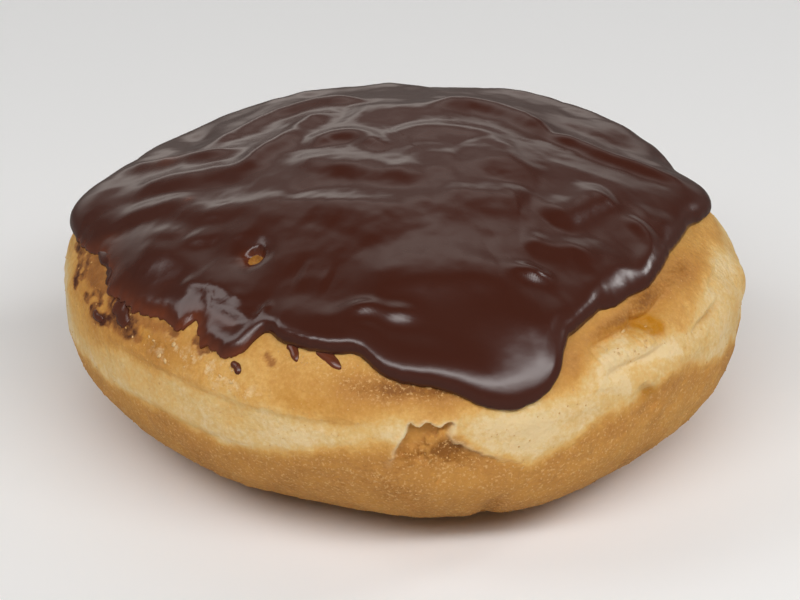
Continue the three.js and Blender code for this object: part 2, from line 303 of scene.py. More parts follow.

# Places more or less brown than their zone, a few of them darker as painted shade: bearing, latitude,
# half-widths round and up, change
BROWNER_AND_SHADE = (
    (4, -2, 4.5, 3, 0.25),
    # Browner crust under the front lip, darkened further as painted shade of the lip
    (2, 7, 13, 2.2, 0.6),
    (29, 8.5, 4, 3.5, 0.25),
    # Darker just under the lip on the right: browner crust and painted shade of the lip
    (41, 10.6, 7, 1.6, 0.45),
    (56, 12.5, 12, 2.4, 0.35),
    (51, 11.4, 6, 1.8, 0.3),
    # Darker where the bubble's hole shows the crust: painted shade of the hole
    (-40, 23.4, 6, 6, 0.62),
    (-42, 5.6, 9, 2.4, 0.12),
    (62, -14, 14, 7, -0.18),
    (67, 11, 5, 2.6, 0.25),
    (-50, 4.4, 10, 3, 0.28),
    (-72, 4, 9, 5, 0.3),
    (-84, 0, 5, 8, -0.2),
    (-64, 0, 8, 3, 0.28),
    (-28, 3.2, 8, 2.6, -0.1),
    (-56, -4, 6, 2, 0.15),
    (-26, -5.5, 12, 2.5, -0.16),
    (17, -1, 8, 4, -0.15),
    (48, 1.5, 7, 2.5, 0.12),
    # A painted shadow line along the fold above the pale flap
    (38, 9.6, 6, 1, 0.2),
    (46, -9, 14, 4, -0.12),
    (0, -26, 60, 7, 0.1),
    (-62, -12, 14, 5, -0.12),
    (150, 8, 40, 4, 0.15),
    (-140, 8, 30, 4, 0.15),
)

# The pale flap on the right, where a blister of crust tore: its outline, how much paler it is, its edge
# (how soft, and the size and reach of its lumps)
FLAP = (
    (35, 8), (40.6, 7.2), (45.5, 6), (51.3, 4.5), (52, 2.3), (46.9, 3.6), (40.5, 4.2), (38.8, 2.9),
    (39.2, -0.2), (32.3, 1.9), (32.8, 6),
)
FLAP_PALER = 0.14
FLAP_EDGE = {"soft": 0.3, "size": 1, "reach": 0.3}

# Amber places, where fat soaked in: bearing, latitude, half-widths round and up, strength
AMBER = (
    (48.3, 8.2, 1.7, 1.3, 2.6), (45, 9, 4, 1.2, 0.6), (43.3, -1.2, 1.7, 1.1, 0.9), (62, 4.7, 5, 0.5, 0.5),
    (-50, 5.2, 6, 1.2, 0.3), (-17, 4, 6, 1.6, 0.35), (41, 10, 5, 0.6, 0.4), (130, 3, 6, 1.2, 0.35),
)

# Where flakes of the crust came away and left it pale: bearing, latitude, half-widths round and up
FLAKED = (
    (-34, 5.2, 5, 2), (-44, 5.4, 5, 1.6), (-28, 3.2, 4, 1.4), (41, 7.4, 5, 1.4), (118, 6, 8, 2),
    (-61, 8, 2.5, 0.6), (-56.2, 6.6, 0.8, 1.2), (-54.6, 4.6, 1.2, 0.8),
)

# Brown films of icing wiped over the crust: a path of places, half-width, strength
STAINS = (
    (((-86, 7.4), (-81.5, 7.2), (-79, 5.4), (-77.4, 3.8)), 0.8, 0.9),
    (((-80, 8.8), (-78, 7.4), (-76.3, 6)), 0.7, 0.85),
    (((-77, 9.4), (-75, 7.8), (-72, 7.6), (-69, 8.2), (-67.5, 8.4)), 1.7, 0.55),
    (((-72, 4.2), (-70.4, 4.2), (-69.2, 6), (-67.6, 6.4)), 0.6, 0.85),
    (((-67.4, 6.4), (-66.4, 5.4), (-67.2, 3.9)), 0.6, 0.85),
    (((-67.5, 3.8), (-65.5, 3.2), (-63.5, 3.6), (-62, 4)), 1, 1),
    (((-62.5, 7.4), (-60.5, 6.6), (-58.5, 5.8), (-56, 5.2)), 2.1, 1),
    (((-56, 7.6), (-54.5, 6), (-54, 4.6), (-52, 4.6)), 0.7, 0.5),
    (((-57, 6.8), (-52, 7.1), (-48, 7.8)), 0.9, 0.45),
    (((-46.5, 8.6), (-44.5, 7.8)), 0.7, 0.6),
    (((-40, 8.4), (-38, 7.2), (-36, 7.8)), 0.7, 0.7),
    (((-24.6, 9.2), (-23.6, 8.4)), 0.5, 0.5),
)
STAIN_FADES = (0.6, 1.3)  # shares of its half-width between which a stain fades out
STAIN_RAGGED = {"size": 1.1, "reach": 0.5}

# How grainy the crust is: above the belt's foot (below it is 1), and rough places under the icing's lip
GRAINY_ABOVE = 0.2
GRAINY_SPOTS = ((2, 7, 14, 2.2), (-12, 9.5, 8, 2))


def spots(bearing, latitude, places):
    """How far places lie within any of a list of soft round spots, 0 to 1."""
    return np.clip(summed(bearing, latitude, [(*place, 1) for place in places]), 0, 1)


def border(bearing, stops):
    return np.interp(bearing, [stop[0] for stop in stops], [stop[1] for stop in stops], period=360)


def crust_colouring(bearing, latitude, points):
    """How deeply browned (darker in a few places as painted shade), amber, torn, flaked, stained and grainy
    the crust is at each place.
    """
    ragged = latitude
    for seed, (size, degrees) in enumerate(BORDER_RAGGED, 4):
        ragged = ragged + degrees * lumps(points, size, seed)
    over_top = smooth(ragged - border(bearing, BELT_TOP), -BORDER_SOFT, BORDER_SOFT)
    over_foot = smooth(ragged - border(bearing, BELT_FOOT), -BORDER_SOFT, BORDER_SOFT)
    brown_and_shade = BROWN_BELOW + (BROWN_BELT - BROWN_BELOW) * over_foot + (BROWN_ABOVE - BROWN_BELT) * over_top
    # Browner and paler places, a few of them painted shade
    brown_and_shade = brown_and_shade + summed(bearing, latitude, BROWNER_AND_SHADE)
    from_flap = from_path(bearing, latitude, FLAP + FLAP[:1])[0]
    in_flap = signed_inside(bearing, latitude, FLAP, from_flap)
    in_flap = in_flap + FLAP_EDGE["reach"] * lumps(points, FLAP_EDGE["size"], 2)
    brown_and_shade = brown_and_shade - FLAP_PALER * smooth(in_flap, -FLAP_EDGE["soft"], FLAP_EDGE["soft"])
    inside, opened = tear_inside(bearing, latitude)
    # Just inside the tear's rim: browner crust, with painted shade of the recess
    in_tear = between(inside, TEAR_SHADE_AND_BROWN["from"], TEAR_SHADE_AND_BROWN["to"], TEAR_SHADE_AND_BROWN["soft"])
    brown_and_shade = brown_and_shade + TEAR_SHADE_AND_BROWN["change"] * opened * in_tear
    torn = TORN_RIM["strength"] * opened * bell(inside + TORN_RIM["outside"], TORN_RIM["half_width"])
    stained = np.zeros(bearing.shape)
    fringe = STAIN_RAGGED["reach"] * lumps(points, STAIN_RAGGED["size"], 9)
    for path, half_width, strength in STAINS:
        away = np.abs(from_path(bearing, latitude, path)[0]) + fringe
        faded = smooth(away, half_width * STAIN_FADES[0], half_width * STAIN_FADES[1])
        stained = np.maximum(stained, strength * (1 - faded))
    grainy = GRAINY_ABOVE + (1 - GRAINY_ABOVE) * (1 - over_foot)
    return {
        "brown_and_shade": np.clip(brown_and_shade, 0, 1),
        "amber": np.clip(summed(bearing, latitude, AMBER), 0, 1),
        "torn": np.clip(torn, 0, 1),
        "flaked": spots(bearing, latitude, FLAKED),
        "stained": stained,
        "grainy": np.clip(grainy + spots(bearing, latitude, GRAINY_SPOTS), 0, 1),
    }


COLUMNS = 660
FRONT_CROWDING = 0.4  # columns stand closer together at the front, where the dough is torn


def column_bearings(columns):
    turn = np.arange(columns) * 2 * np.pi / columns
    return np.degrees(turn - FRONT_CROWDING * np.sin(turn))


def ringed_faces(rings, columns):
    """Faces of a closed skin: a bottom pole (point 0), rings of points upwards, and a top pole."""
    first = 1 + np.arange(rings)[:, None] * columns + np.arange(columns)
    following = np.roll(first, -1, axis=1)
    sides = np.stack([first[:-1], following[:-1], following[1:], first[1:]], axis=-1).reshape(-1, 4)
    top_pole = 1 + rings * columns
    bottom = np.stack([np.zeros(columns, int), following[0], first[0]], axis=-1)
    top = np.stack([first[-1], following[-1], np.full(columns, top_pole)], axis=-1)
    return sides.tolist() + bottom.tolist() + top.tolist()


# Rings of points: few under the foot and under the icing, and closest together round the belt
dough_latitudes = np.concatenate([
    np.linspace(-80, -46, 8, endpoint=False),
    np.linspace(-46, -9, 44, endpoint=False),
    np.linspace(-9, 15, 76, endpoint=False),
    np.linspace(15, 86, 14),
])
dough_bearing, dough_latitude = np.meshgrid(column_bearings(COLUMNS), dough_latitudes)
dough_rings = crust_point(dough_bearing, dough_latitude)
FORM_ORIGIN = np.array([0.461, 0.356, 0])  # the belt's axis, from the middle of the frame


def add_object(name, data):
    made = bpy.data.objects.new(name, data)
    bpy.context.scene.collection.objects.link(made)
    return made


def mesh_piece(name, points, faces, material, attributes=None):
    """A smooth piece from points in millimetres about the belt's axis, with named values at its points."""
    mesh = bpy.data.meshes.new(name)
    mesh.from_pydata(((points + FORM_ORIGIN) * MM).tolist(), [], faces)
    for title, values in (attributes or {}).items():
        layer = mesh.attributes.new(title, "FLOAT", "POINT")
        layer.data.foreach_set("value", np.asarray(values, np.float32))
    mesh.materials.append(material)
    mesh.shade_smooth()
    return add_object(name, mesh)


def join(tree, value, socket):
    """Links an output to a socket, or sets the socket to a plain value."""
    if isinstance(value, bpy.types.NodeSocket):
        tree.links.new(value, socket)
    else:
        socket.default_value = value


def fill(tree, node, **inputs):
    """Links or sets the inputs of a node, each named with _ for a space."""
    for title, value in inputs.items():
        join(tree, value, node.inputs[title.replace("_", " ")])


def add_node(tree, kind, settings=None, **inputs):
    """Adds a node with its settings and fills its inputs."""
    made = tree.nodes.new(kind)
    for title, value in (settings or {}).items():
        setattr(made, title, value)
    fill(tree, made, **inputs)
    return made


def mixed(tree, share, first, second):
    """A colour between two colours."""
    made = add_node(tree, "ShaderNodeMix", {"data_type": "RGBA"})
    for value, socket in ((share, made.inputs[0]), (first, made.inputs[6]), (second, made.inputs[7])):
        join(tree, value, socket)
    return made.outputs[2]


def reckoned(tree, operation, first, second=0.0):
    made = add_node(tree, "ShaderNodeMath", {"operation": operation})
    join(tree, first, made.inputs[0])
    join(tree, second, made.inputs[1])
    return made.outputs[0]


def attribute(tree, title):
    return add_node(tree, "ShaderNodeAttribute", {"attribute_name": title}).outputs["Fac"]


def cloudy(tree, where, size, detail=3.0, rough=0.55):
    """Noise with lumps of about that many millimetres, 0 to 1."""
    made = add_node(tree, "ShaderNodeTexNoise", Vector=where, Scale=1 / (size * MM), Detail=detail,
                    Roughness=rough)
    return made.outputs["Fac"]


def ranged(tree, value, low, high, low_to=0.0, high_to=1.0):
    made = add_node(tree, "ShaderNodeMapRange", Value=value, From_Min=low, From_Max=high, To_Min=low_to,
                    To_Max=high_to)
    return made.outputs["Result"]


CRUST_COLOURS = (
    (0.0, (0.8, 0.6, 0.32)),
    (0.15, (0.74, 0.49, 0.19)),
    (0.3, (0.71, 0.4, 0.115)),
    (0.45, (0.62, 0.315, 0.075)),
    (0.6, (0.56, 0.265, 0.056)),
    (0.75, (0.5, 0.228, 0.052)),
    (0.9, (0.38, 0.155, 0.024)),
    (1.0, (0.27, 0.1, 0.015)),
)
AMBER_COLOUR = (0.5, 0.2, 0.004, 1)
TORN_COLOUR = (0.84, 0.68, 0.42, 1)
SPECK_COLOUR = (0.74, 0.46, 0.19, 1)
SMEAR_COLOUR = (0.36, 0.13, 0.028, 1)
STAIN_COLOUR = (0.085, 0.022, 0.009, 1)


def new_material(name):
    """A new material, its nodes and its shader."""
    material = bpy.data.materials.new(name)
    material.use_nodes = True
    return material, material.node_tree, material.node_tree.nodes["Principled BSDF"]


def dough_material():
    material, tree, shader = new_material("fried_dough")
    where = add_node(tree, "ShaderNodeTexCoord").outputs["Object"]
    mottle = ranged(tree, cloudy(tree, where, 7), 0.3, 0.7, -0.12, 0.12)
    fleck = ranged(tree, cloudy(tree, where, 0.7, 4, 0.7), 0.3, 0.7, -0.11, 0.11)
    # How browned the crust is, with its painted shade, varied by mottling and flecks
    brown_and_shade = reckoned(tree, "ADD", attribute(tree, "brown_and_shade"), reckoned(tree, "ADD", mottle, fleck))
    ramp = add_node(tree, "ShaderNodeValToRGB", Fac=brown_and_shade)
    stops = ramp.color_ramp.elements
    stops.remove(stops[1])
    for index, (place, colour) in enumerate(CRUST_COLOURS):
        stop = stops[0] if index == 0 else stops.new(place)
        stop.color = (*colour, 1)
    soaked = ranged(tree, cloudy(tree, where, 3), 0.35, 0.55, 0.7, 1)
    amber = reckoned(tree, "MULTIPLY", attribute(tree, "amber"), soaked)
    colour = mixed(tree, amber, ramp.outputs["Color"], AMBER_COLOUR)
    specks = ranged(tree, cloudy(tree, where, 0.4, 2, 0.5), 0.56, 0.68, 0, 0.6)
    specks = reckoned(tree, "MULTIPLY", specks, attribute(tree, "grainy"))
    colour = mixed(tree, specks, colour, SPECK_COLOUR)
    peeled = ranged(tree, cloudy(tree, where, 1.8, 5, 0.7), 0.5, 0.62, 0, 0.6)
    peeled = reckoned(tree, "MULTIPLY", peeled, attribute(tree, "flaked"))
    colour = mixed(tree, reckoned(tree, "MAXIMUM", peeled, attribute(tree, "torn")), colour, TORN_COLOUR)
    stained = attribute(tree, "stained")
    colour = mixed(tree, ranged(tree, stained, 0, 0.5, 0, 0.8), colour, SMEAR_COLOUR)
    worn = ranged(tree, cloudy(tree, where, 1.4, 4, 0.6), 0.35, 0.6)
    worn = reckoned(tree, "MULTIPLY", worn, ranged(tree, stained, 0.4, 0.9))
    colour = mixed(tree, worn, colour, STAIN_COLOUR)
    rough = ranged(tree, cloudy(tree, where, 4), 0.3, 0.7, 0.45, 0.62)
    grain = reckoned(tree, "ADD", cloudy(tree, where, 0.5, 4, 0.6), cloudy(tree, where, 2, 2))
    bump = add_node(tree, "ShaderNodeBump", Height=grain, Strength=0.8, Distance=0.2 * MM)
    fill(
        tree, shader, Base_Color=colour, Roughness=rough, Specular_IOR_Level=0.22,
        Subsurface_Weight=0.15, Subsurface_Radius=(1.0, 0.5, 0.25), Subsurface_Scale=1.6 * MM,
        Normal=bump.outputs["Normal"],
    )
    return material


fried_dough = dough_material()
dough_colouring = crust_colouring(dough_bearing, dough_latitude, dough_rings)
foot_pole = np.array([[0.0, 0.0, 0.0]])
crown_pole = crust_point(np.array([0.0]), np.array([90.0]))
dough = mesh_piece(
    "dough_cushion",
    np.concatenate([foot_pole, dough_rings.reshape(-1, 3), crown_pole]),
    ringed_faces(len(dough_latitudes), COLUMNS),
    fried_dough,
    {title: np.concatenate([[0.0], values.ravel(), [0.0]]) for title, values in dough_colouring.items()},
)
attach(dough, "root")
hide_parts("dough")

# Grains and flakes of crust
# Fried blisters of dough that stand out of the rough parts of the crust as tiny grains, and pale scraps where
# it peeled. They are of the same dough, strewn over the cushion and fast to it.
GRAINS = {
    "where": "grainy", "to_a_square": 0.5, "sizes": (0.08, 0.19), "flatness": 0.6, "lean": 10, "seed": 3,
}
FLAKES = {
    "where": "flaked", "to_a_square": 0.25, "sizes": (0.15, 0.5), "flatness": 0.2, "lean": 30, "seed": 8,
}
GRAIN_COLOUR = (0.64, 0.37, 0.13, 1)
FLAKE_COLOUR = (0.72, 0.48, 0.22, 1)
BIT_SURFACE = (0.5, 0.3)  # roughness and shine
BIT_INPUTS = (
    ("Where", "NodeSocketString"), ("Density", "NodeSocketFloat"), ("Smallest", "NodeSocketFloat"),
    ("Largest", "NodeSocketFloat"), ("Flatness", "NodeSocketFloat"), ("Lean", "NodeSocketFloat"),
    ("Seed", "NodeSocketInt"), ("Material", "NodeSocketMaterial"),
)


def chance(tree, low, high, seed):
    """A number between two others, another for each bit."""
    made = add_node(tree, "FunctionNodeRandomValue", {"data_type": "FLOAT"}, Seed=seed)
    join(tree, low, made.inputs[2])
    join(tree, high, made.inputs[3])
    return made.outputs[1]


def bits_tree():
    """Nodes that strew small flat bits over a surface, more of them where a named value is high."""
    tree = bpy.data.node_groups.new("crust_bits", "GeometryNodeTree")
    tree.interface.new_socket("Surface", in_out="INPUT", socket_type="NodeSocketGeometry")
    for title, kind in BIT_INPUTS:
        tree.interface.new_socket(title, in_out="INPUT", socket_type=kind)
    tree.interface.new_socket("Bits", in_out="OUTPUT", socket_type="NodeSocketGeometry")
    given = tree.nodes.new("NodeGroupInput").outputs
    where = add_node(tree, "GeometryNodeInputNamedAttribute", {"data_type": "FLOAT"}, Name=given["Where"])
    density = reckoned(tree, "MULTIPLY", where.outputs["Attribute"], given["Density"])
    strewn = add_node(tree, "GeometryNodeDistributePointsOnFaces", Mesh=given["Surface"], Density=density,
                      Seed=given["Seed"])
    size = chance(tree, given["Smallest"], given["Largest"], 1)
    width = reckoned(tree, "MULTIPLY", size, chance(tree, 0.4, 1.0, 2))
    thickness = reckoned(tree, "MULTIPLY", size, given["Flatness"])
    scale = add_node(tree, "ShaderNodeCombineXYZ", X=size, Y=width, Z=thickness)
    lowest = reckoned(tree, "MULTIPLY", given["Lean"], -1.0)
    leaning = add_node(tree, "ShaderNodeCombineXYZ", X=chance(tree, lowest, given["Lean"], 3),
                       Y=chance(tree, lowest, given["Lean"], 4), Z=chance(tree, 0.0, 2 * math.pi, 5))
    turn = add_node(tree, "FunctionNodeEulerToRotation", Euler=leaning.outputs["Vector"])
    turn = add_node(tree, "FunctionNodeRotateRotation", {"rotation_space": "LOCAL"},
                    Rotation=strewn.outputs["Rotation"], Rotate_By=turn.outputs["Rotation"])
    bit = add_node(tree, "GeometryNodeMeshIcoSphere", Radius=1.0, Subdivisions=1)
    bits = add_node(tree, "GeometryNodeInstanceOnPoints", Points=strewn.outputs["Points"],
                    Instance=bit.outputs["Mesh"], Rotation=turn.outputs["Rotation"],
                    Scale=scale.outputs["Vector"])
    bits = add_node(tree, "GeometryNodeRealizeInstances", Geometry=bits.outputs["Instances"])
    bits = add_node(tree, "GeometryNodeSetShadeSmooth", Geometry=bits.outputs["Geometry"])
    bits = add_node(tree, "GeometryNodeSetMaterial", Geometry=bits.outputs["Geometry"],
                    Material=given["Material"])
    tree.links.new(bits.outputs["Geometry"], tree.nodes.new("NodeGroupOutput").inputs["Bits"])
    return tree


def plain_material(name, colour, roughness, shine):
    """A material of one colour."""
    material, tree, shader = new_material(name)
    fill(tree, shader, Base_Color=colour, Roughness=roughness, Specular_IOR_Level=shine)
    return material


strewing = bits_tree()


def strew(name, bits, material):
    """Strews bits over the dough and makes them a piece of their own."""
    piece = add_object(name, dough.data.copy())
    values = {
        "Where": bits["where"], "Density": bits["to_a_square"] / MM**2, "Smallest": bits["sizes"][0] * MM,
        "Largest": bits["sizes"][1] * MM, "Flatness": bits["flatness"], "Lean": math.radians(bits["lean"]),
        "Seed": bits["seed"], "Material": material,
    }
    modifier = piece.modifiers.new("crust_bits", "NODES")
    modifier.node_group = strewing
    for socket in strewing.interface.items_tree:
        if socket.in_out == "INPUT" and socket.name in values:
            modifier[socket.identifier] = values[socket.name]
    made = bpy.data.meshes.new_from_object(piece.evaluated_get(bpy.context.evaluated_depsgraph_get()))
    piece.modifiers.remove(modifier)
    piece.data = made
    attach(piece, "root")


strew("crust_grains", GRAINS, plain_material("crust_grain", GRAIN_COLOUR, *BIT_SURFACE))
strew("crust_flakes", FLAKES, plain_material("crust_flake", FLAKE_COLOUR, *BIT_SURFACE))

# The chocolate icing
# Warm chocolate icing that the crown was dipped in and then set: a skin with a swollen rolled lip, lobes and
# drips that ran down the side, low waves, one burst bubble, and a thin reddish film where it was wiped off.
ICING_THICKNESS = 2.05

# Where the icing ends: bearing and latitude round the doughnut
EDGE = (
    (-164, 12), (-156, 13), (-144, 10), (-132, 6.5), (-121, 9), (-110, 10.5), (-102, 8.5), (-93, 7.3),
    (-86, 8), (-80, 8.6), (-77, 9.6), (-70, 10), (-68, 9.2), (-66, 7.2), (-60, 7.9), (-56, 7.5),
    (-55, 8.2), (-52, 7.9), (-49.5, 9.1), (-44, 8.1), (-43, 10.2), (-41.5, 10.8), (-40, 8.8), (-38, 7.4),
    (-35.5, 8), (-33.5, 7.1),
    (-31.5, 7.3), (-29, 9.1), (-27.5, 11.8), (-26, 12.6), (-23.5, 11.6), (-17, 11.2), (-13, 11.1), (-9, 11.5),
    (-7.5, 10.9), (-4, 8.7), (-1, 7.8), (5, 7), (8, 6), (11.5, 4.1), (14, 3.3), (17, 2.8), (21, 3.5),
    (23.5, 4.6), (26, 6.6), (28, 9.3), (30, 11), (39, 13.2), (43, 12.8), (48, 13.3), (53.5, 13), (60, 13.9),
    (67, 14.8), (80, 14.4), (85, 13.2), (94, 11.5), (104, 13), (118, 10.8), (130, 13.5), (141, 12),
    (155, 12.4), (172, 7.4), (184, 8.6),
)
EDGE_SOFT = 0.7  # degrees of bearing over which its corners are rounded
EDGE_EASED = 5  # and over which they are evened out for the form of the skin away from the edge
EASED_INSIDE = (1.5, 5)  # distances from the edge between which that sets in
EDGE_RAGGED = {"size": 1.1, "reach": 0.5, "unwiped": 0.2}
EDGE_PLACES = 2880  # places along the edge that distances from it are taken to
STEEPEST_EDGE = 3
WIPED = (-86, -28)  # bearings between which the edge was wiped thin
WIPED_SOFT = 3

# The lip along that edge: bearing, thickness at the very edge, thickness where it has rolled over, distance
# from the edge to there, and thickness of the hollow behind it
LIP = (
    (-180, 0.9, 2.4, 4, 1.9), (-104, 0.9, 2.4, 4, 1.9), (-92, 0.9, 2.2, 4, 1.9), (-85, 0.5, 1.4, 4, 1.4),
    (-78, 0.25, 0.9, 3, 1.1), (-45, 0.25, 0.9, 3, 1.1), (-36, 0.3, 1.1, 4, 1.2), (-29, 0.35, 1.3, 3, 1.2),
    (-24, 0.5, 1.7, 2.1, 1.1), (-9, 0.5, 1.7, 2, 1), (0, 0.55, 1.7, 2.3, 0.9), (8, 0.6, 1.6, 2.8, 0.9),
    (12, 0.7, 1.4, 3.2, 1), (16, 0.7, 1.2, 2.8, 1.1), (22, 0.7, 1.2, 2.4, 1.2), (26, 0.6, 1.5, 2.4, 1.5),
    (32, 0.5, 1.8, 2.2, 1.6), (38, 0.5, 1.8, 3, 1.6), (43, 0.5, 1.9, 5.5, 1.7), (51, 0.5, 1.9, 5.5, 1.7),
    (56, 0.5, 1.8, 3, 1.6), (70, 0.5, 1.8, 3, 1.7), (80, 0.7, 2.2, 3.5, 2), (92, 0.9, 2.4, 4, 2),
)
LIP_FALL = 5  # distance over which the lip falls to the hollow behind it
LIP_SETTLE = 30  # and over which that rises to the skin
LIP_ROUND = 3  # power of the curve by which it rolls over
NOSE_LENGTH = 0.6  # length of the rounded edge, as a share of its thickness

# Set waves: a line in plan about the belt's axis, half-widths to its right and to its left, height
WAVES = (
    (((-39, -9), (-34, -17), (-28.5, -23), (-25.5, -27), (-22.5, -29.5)), 4.5, 2.4, 0.45),
    (((-28.5, -23), (-25.5, -27), (-21.5, -30.5), (-17.5, -33)), 1.6, 2.4, 0.5),
    (((-43, -3.5), (-38.5, -6.5), (-34.5, -7.5), (-30.5, -9), (-27, -13), (-19.5, -15), (-14, -16.5)),
     2.2, 2.2, 0.65),
    (((-25, -13.5), (-19.5, -15), (-11, -17.5), (-6, -18.5), (3, -20)), 6, 2.6, 0.9),
    (((-40, 0), (-34.5, -1.5), (-27.5, -3), (-22, -3.5), (-17, 1)), 2.6, 2.2, 0.9),
    (((-25, -4), (-21, -2.5), (-17, 2.5), (-13.5, 8.5), (-9, 13)), 1.9, 2.2, 1.2),
    (((-41.5, 8), (-35, 6.5), (-28, 4), (-21, 2.5)), 1.8, 2, 0.9),
    (((-30, 8), (-26.5, 10), (-22.5, 14), (-18.5, 17.5), (-13, 18.5), (-8, 17), (-3, 16)), 2, 2, 1.2),
    (((-13.5, -2.5), (-11.5, 0.5), (-9.5, 1.5), (-6.5, 1), (-4, -2), (-2, -4)), 1.8, 2, 0.8),
    (((-17, -5), (-11.5, -6.5), (-6, -9), (-1, -10.5), (4, -11)), 2.6, 3, 0.8),
    (((-30.5, -16.5), (-28, -18), (-23, -19), (-18.5, -22)), 1.6, 2, 0.35),
    (((-36.5, -12), (-32.5, -15), (-29, -16.5)), 1.4, 1.8, 0.35),
    (((-9.5, 12), (-5, 11.5), (-0.5, 10.5), (4.5, 11.5), (8, 12.5)), 4.5, 3, 0.9),
    (((1, 10.5), (4.5, 11.5), (9, 13), (14, 11), (18.5, 7.5), (22, 5)), 2.5, 3, 1.6),
    (((-4, -2), (-1, 1), (5, 2.5), (10, 1.5), (12.5, -3), (15, -9), (17, -13)), 3.6, 2.8, 0.9),
    (((3.5, -16.5), (6.5, -16), (10.5, -15), (14.5, -14), (17, -14.5)), 3.4, 2.4, 0.6),
    (((-9, -33), (-2, -32.5), (5, -32), (12, -31), (18, -30.3)), 3.2, 5, 1.0),
    (((17, 8.5), (20, 6), (23.5, 4.5), (28, 2.2), (31, 1.7), (35, 0.7), (39, 1.5)), 1.6, 3, 1.2),
    (((18, -18.5), (21.5, -15.5), (25, -11.5), (28, -9)), 2.2, 2.6, 1.0),
    (((14.5, -23.5), (19, -24), (22, -23.5), (25.5, -25)), 1.6, 2.2, 0.7),
    (((28.5, -12.5), (30, -13.7), (31.5, -15.5), (32.5, -18), (32, -21), (32, -23)), 1.3, 1.5, 0.6),
    (((30, -11.5), (33, -11.7), (35.5, -12.2), (39, -12.4)), 2.6, 2.4, 0.4),
    (((-14.5, -29.5), (-12, -30.5), (-9.5, -31.5)), 1.8, 2.4, 0.35),
    (((-13.5, -36.5), (-9.5, -37.5), (-6, -39), (-2, -40.5)), 1.2, 1.6, 0.2),
    (((-31, -24), (-29.5, -25), (-24.5, -29), (-19, -34)), 0.9, 1.4, 0.6),
    (((-28, -27.5), (-27, -28.5), (-22.5, -32.5), (-19, -35.5)), 0.8, 1, 0.45),
    (((-17.5, -33), (-18.5, -34), (-19, -35)), 0.7, 0.9, 0.4),
    (((-26, 26), (-12, 32), (4, 34)), 2.4, 2.4, 0.6),
    (((8, 33), (20, 29), (30, 20)), 2.4, 2.4, 0.6),
)
WAVE_STEP = 0.5
WAVE_BLEND = 2.5  # power of the blend where waves meet
WAVE_REACH = 2.6  # half-widths beyond which a wave isn't felt
WAVE_RUN_OUT = 0.25  # share of a wave over which each of its ends runs out
WAVES_INSIDE = (1, 4)  # distances from the icing's edge between which waves set in

# Mounds and hollows: place in plan, half-widths along x and y, height
MOUNDS = (
    (14.5, -36.5, 5, 4, 0.75),
    (16.2, -29.6, 2.2, 1.3, 1.05),
    (-1.2, -37.4, 2.6, 1.3, 0.75),
    (-5.6, -36.5, 2.4, 1.2, 1),
    (5, -6, 7, 5, 0.5),
    (-30.5, 20.5, 3.2, 5, -1.5),
    (29.7, 18, 3.5, 5, 1),
    (37.4, 12.5, 1.8, 4, -1.4),
)
RIPPLES = ((11, 0.35), (5.5, 0.14))  # size and height of the icing's general unevenness
CALM = ((18, 6, 14, 7), (4, 15, 18, 7))  # where it ran smooth: bearing, latitude, half-widths round and up
CALMED = 0.8  # share by which it is evener there

# The burst bubble: its place, the form of its hole, rim and dip, and how far the rings are drawn in to it
BUBBLE = {
    "bearing": -39.8, "latitude": 23.4, "hole": 0.9, "wall": 0.6, "rim": 0.15, "rim_width": 0.5,
    "dip": 1.3, "dip_width": 2, "floor": 0.6, "crowding": 5.5,
}
NOSE_UNDERCUT = 35  # degrees below level at which the rolled lip comes back to the crust
SUNK = 0.3  # how far the icing's underside lies in the dough


def rounded_edge(bearing, soft):
    """Latitude of the icing's edge, with its corners rounded over some degrees of bearing."""
    return np.mean([border(bearing + soft * offset, EDGE) for offset in np.linspace(-1, 1, 9)], axis=0)


def icing_edge(bearing):
    """Latitude at which the icing ends, ragged where it was wiped."""
    rounded = rounded_edge(bearing, EDGE_SOFT)
    wiped = EDGE_RAGGED["unwiped"] + between(turned(bearing, 0), *WIPED, WIPED_SOFT)
    ragged = lumps(cushion_point(bearing, rounded), EDGE_RAGGED["size"], 12)
    return rounded + EDGE_RAGGED["reach"] * wiped * ragged


def lip_profile(bearing, inside):
    """Thickness of the icing at a distance inside its edge, rolling over from the edge into the skin."""
    parts = [border(bearing, [(stop[0], stop[part]) for stop in LIP]) for part in (1, 2, 3, 4)]
    foot, rolled, length, hollow = parts
    unrolled = np.clip(1 - inside / length, 0, 1) ** LIP_ROUND
    fallen = smooth(inside, length, length + LIP_FALL)
    settled = smooth(inside, length + LIP_FALL, length + LIP_FALL + LIP_SETTLE)
    lip = rolled - (rolled - foot) * unrolled - (rolled - hollow) * fallen
    return lip + (ICING_THICKNESS - hollow) * settled


def smooth_line(stops):
    """Points a short step apart on a smooth curve through the stops."""
    stops = np.array(stops, float)
    padded = np.concatenate([[2 * stops[0] - stops[1]], stops, [2 * stops[-1] - stops[-2]]])
    points = []
    for before, start, end, after in zip(padded, padded[1:], padded[2:], padded[3:]):
        count = max(2, int(np.linalg.norm(end - start) / WAVE_STEP))
        share = np.linspace(0, 1, count, endpoint=False)[:, None]
        pull = 2 * before - 5 * start + 4 * end - after
        turn = 3 * start - before - 3 * end + after
        points.append(start + share * (end - before + share * (pull + share * turn)) / 2)
    return np.concatenate(points + [stops[-1:]])


